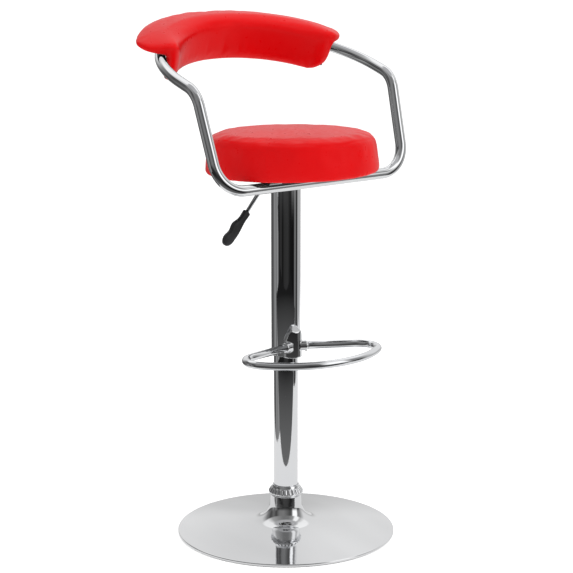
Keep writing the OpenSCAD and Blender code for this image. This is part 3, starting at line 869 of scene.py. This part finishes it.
def build_floor():
    """Pale studio floor. Mirrors see two sheets instead: where they meet is the dark tongue."""
    s = Shader("studio_floor", Roughness=0.9, Specular_IOR_Level=0.1)
    s.into(s.blend(s.noise(1.5, 2), (0.90, 0.90, 0.90), (0.93, 0.93, 0.93)), "Base Color")
    s.bsdf.inputs["Emission Color"].default_value = (1, 1, 1, 1)
    s.bsdf.inputs["Emission Strength"].default_value = 0.45
    wide = 40.0
    corners = [(-wide, -wide, 0), (wide, -wide, 0), (wide, wide, 0), (-wide, wide, 0)]
    floor = flat_panel("floor", corners, s.material)
    floor.visible_glossy = False

    on_floor = Matrix.Translation((0, 0, 0.2 * MM)) @ Matrix.Rotation(VIEW_FROM + pi / 2, 4, "Z")
    sheets = [
        ("white_sheet", -0.62, 1.35, -0.40, 2.0, 0.80, 0.80),
        ("grey_sheet", -1.9, 1.6, -2.0, -0.40, 0.14, 0.012),
    ]
    for name, left, right, front, back, near, far in sheets:
        glow = Shader(name, Roughness=1.0, Specular_IOR_Level=0.0)
        glow.bsdf.inputs["Base Color"].default_value = (0, 0, 0, 1)
        glow.bsdf.inputs["Emission Color"].default_value = (1, 1, 1, 1)
        distance = glow.node("VectorMath", operation="LENGTH")
        glow.link(glow.coords, distance.inputs[0])
        glow.into(glow.spread(distance.outputs["Value"], near, far, 0.5, 1.9), "Emission Strength")
        corners = [(left, front, 0), (right, front, 0), (right, back, 0), (left, back, 0)]
        sheet = flat_panel(name, placed(corners, on_floor), glow.material)
        sheet.visible_camera = False
        sheet.visible_diffuse = False
        sheet.visible_shadow = False
        sheet.visible_transmission = False


def build_world():
    """White studio for the eye and for soft light. Mirrors see a round of dark and light flags instead."""
    world = bpy.data.worlds.new("studio")
    bpy.context.scene.world = world
    world.use_nodes = True
    tree = world.node_tree
    nodes, links = tree.nodes, tree.links
    background = nodes["Background"]
    background.inputs["Strength"].default_value = 1.0
    coords = nodes.new("ShaderNodeTexCoord")
    turned = nodes.new("ShaderNodeVectorRotate")
    turned.rotation_type = "Z_AXIS"
    turned.inputs["Angle"].default_value = -VIEW_FROM
    links.new(coords.outputs["Generated"], turned.inputs["Vector"])
    parts = nodes.new("ShaderNodeSeparateXYZ")
    links.new(turned.outputs["Vector"], parts.inputs["Vector"])
    azimuth = nodes.new("ShaderNodeMath")
    azimuth.operation = "ARCTAN2"
    links.new(parts.outputs["Y"], azimuth.inputs[0])
    links.new(parts.outputs["X"], azimuth.inputs[1])
    share = nodes.new("ShaderNodeMapRange")
    share.inputs["From Min"].default_value = -pi
    share.inputs["From Max"].default_value = pi
    links.new(azimuth.outputs["Value"], share.inputs["Value"])

    def ramp(stops):
        """Grey levels round the horizon, as (degrees, value)."""
        made = nodes.new("ShaderNodeValToRGB")
        made.color_ramp.interpolation = "LINEAR"
        elements = made.color_ramp.elements
        while len(elements) > 1:
            elements.remove(elements[0])
        for k, (degrees, value) in enumerate(stops):
            place = (degrees + 180) / 360
            element = elements[0] if k == 0 else elements.new(place)
            element.position = place
            element.color = (value, value, value, 1)
        links.new(share.outputs["Result"], made.inputs["Fac"])
        return made.outputs["Color"]

    def mix(factor, low, high):
        """Low where the factor is 0, high where it is 1."""
        made = nodes.new("ShaderNodeMix")
        made.data_type = "RGBA"
        links.new(factor, made.inputs["Factor"])
        for socket, value in ((6, low), (7, high)):
            if isinstance(value, tuple):
                made.inputs[socket].default_value = value
            else:
                links.new(value, made.inputs[socket])
        return made.outputs[2]

    def level(low, high):
        """0 below one elevation and 1 above the other, in degrees."""
        made = nodes.new("ShaderNodeMapRange")
        made.interpolation_type = "SMOOTHSTEP"
        made.inputs["From Min"].default_value = sin(radians(low))
        made.inputs["From Max"].default_value = sin(radians(high))
        links.new(parts.outputs["Z"], made.inputs["Value"])
        return made.outputs["Result"]

    # Degrees run to the viewer's right from straight behind the camera at 0.
    below = ramp([
        (-180, 0.40), (-140, 0.10), (-124, 0.06), (-102, 0.20), (-92, 0.34), (-82, 0.10), (-72, 0.36),
        (-62, 0.16), (-54, 0.006), (-44, 0.03), (-34, 0.03), (-27, 0.006), (-10, 0.030), (15, 0.034),
        (32, 0.010), (58, 0.006), (66, 0.02), (74, 0.20), (80, 0.20), (86, 0.015), (96, 0.03),
        (108, 0.44), (150, 0.46), (180, 0.40)])
    level_band = ramp([
        (-180, 0.80), (-150, 0.74), (-128, 0.24), (-105, 0.07), (-84, 0.16), (-66, 0.06), (-44, 0.20),
        (-16, 0.22), (8, 0.14), (28, 0.08), (40, 0.14), (50, 1.25), (74, 1.25), (82, 0.22), (100, 0.32),
        (124, 0.80), (180, 0.80)])
    high_band = ramp([
        (-180, 1.05), (-128, 1.0), (-96, 0.42), (-60, 0.30), (-20, 0.20), (20, 0.20), (52, 0.35), (66, 1.1),
        (86, 1.1), (100, 0.5), (128, 1.0), (180, 1.05)])
    seen = mix(level(-7, 15), below, level_band)
    seen = mix(level(35, 43), seen, high_band)
    seen = mix(level(60, 68), seen, (0.46, 0.46, 0.47, 1))
    rays = nodes.new("ShaderNodeLightPath")
    colour = mix(rays.outputs["Is Glossy Ray"], (0.78, 0.78, 0.78, 1), seen)
    links.new(colour, background.inputs["Color"])


def build_light(name, at, target, size, watts):
    """A soft box that mirrors don't see."""
    data = bpy.data.lights.new(name, "AREA")
    data.shape = "RECTANGLE"
    data.size, data.size_y = size
    data.energy = watts
    light = bpy.data.objects.new(name, data)
    light.location = at
    light.rotation_euler = (Vector(target) - Vector(at)).to_track_quat("-Z", "Y").to_euler()
    bpy.context.scene.collection.objects.link(light)
    light.visible_glossy = False


def build_stage():
    build_camera()
    build_floor()
    build_world()
    centre = (0, 0, 0.7)
    build_light("overhead", (0.3, 0.2, 3.2), centre, (2.2, 2.2), 30)
    build_light("right_front", (1.9, -2.6, 1.9), centre, (1.4, 1.8), 22)
    bpy.context.scene.view_settings.view_transform = "Standard"


build_stage()
dress_cad_nodes()
build_base()
build_collar()
build_column_tube("fixed_column_tube", "lower_tube", "base", LOWER_R)
build_column_tube("sliding_column_sleeve", "upper_sleeve", "seat", SLEEVE_R)
build_arm_frame()
build_foot_rest()
build_bracket()
build_lever()
build_grip()
build_seat_cushion()
build_dust_cover()
build_back_pad()
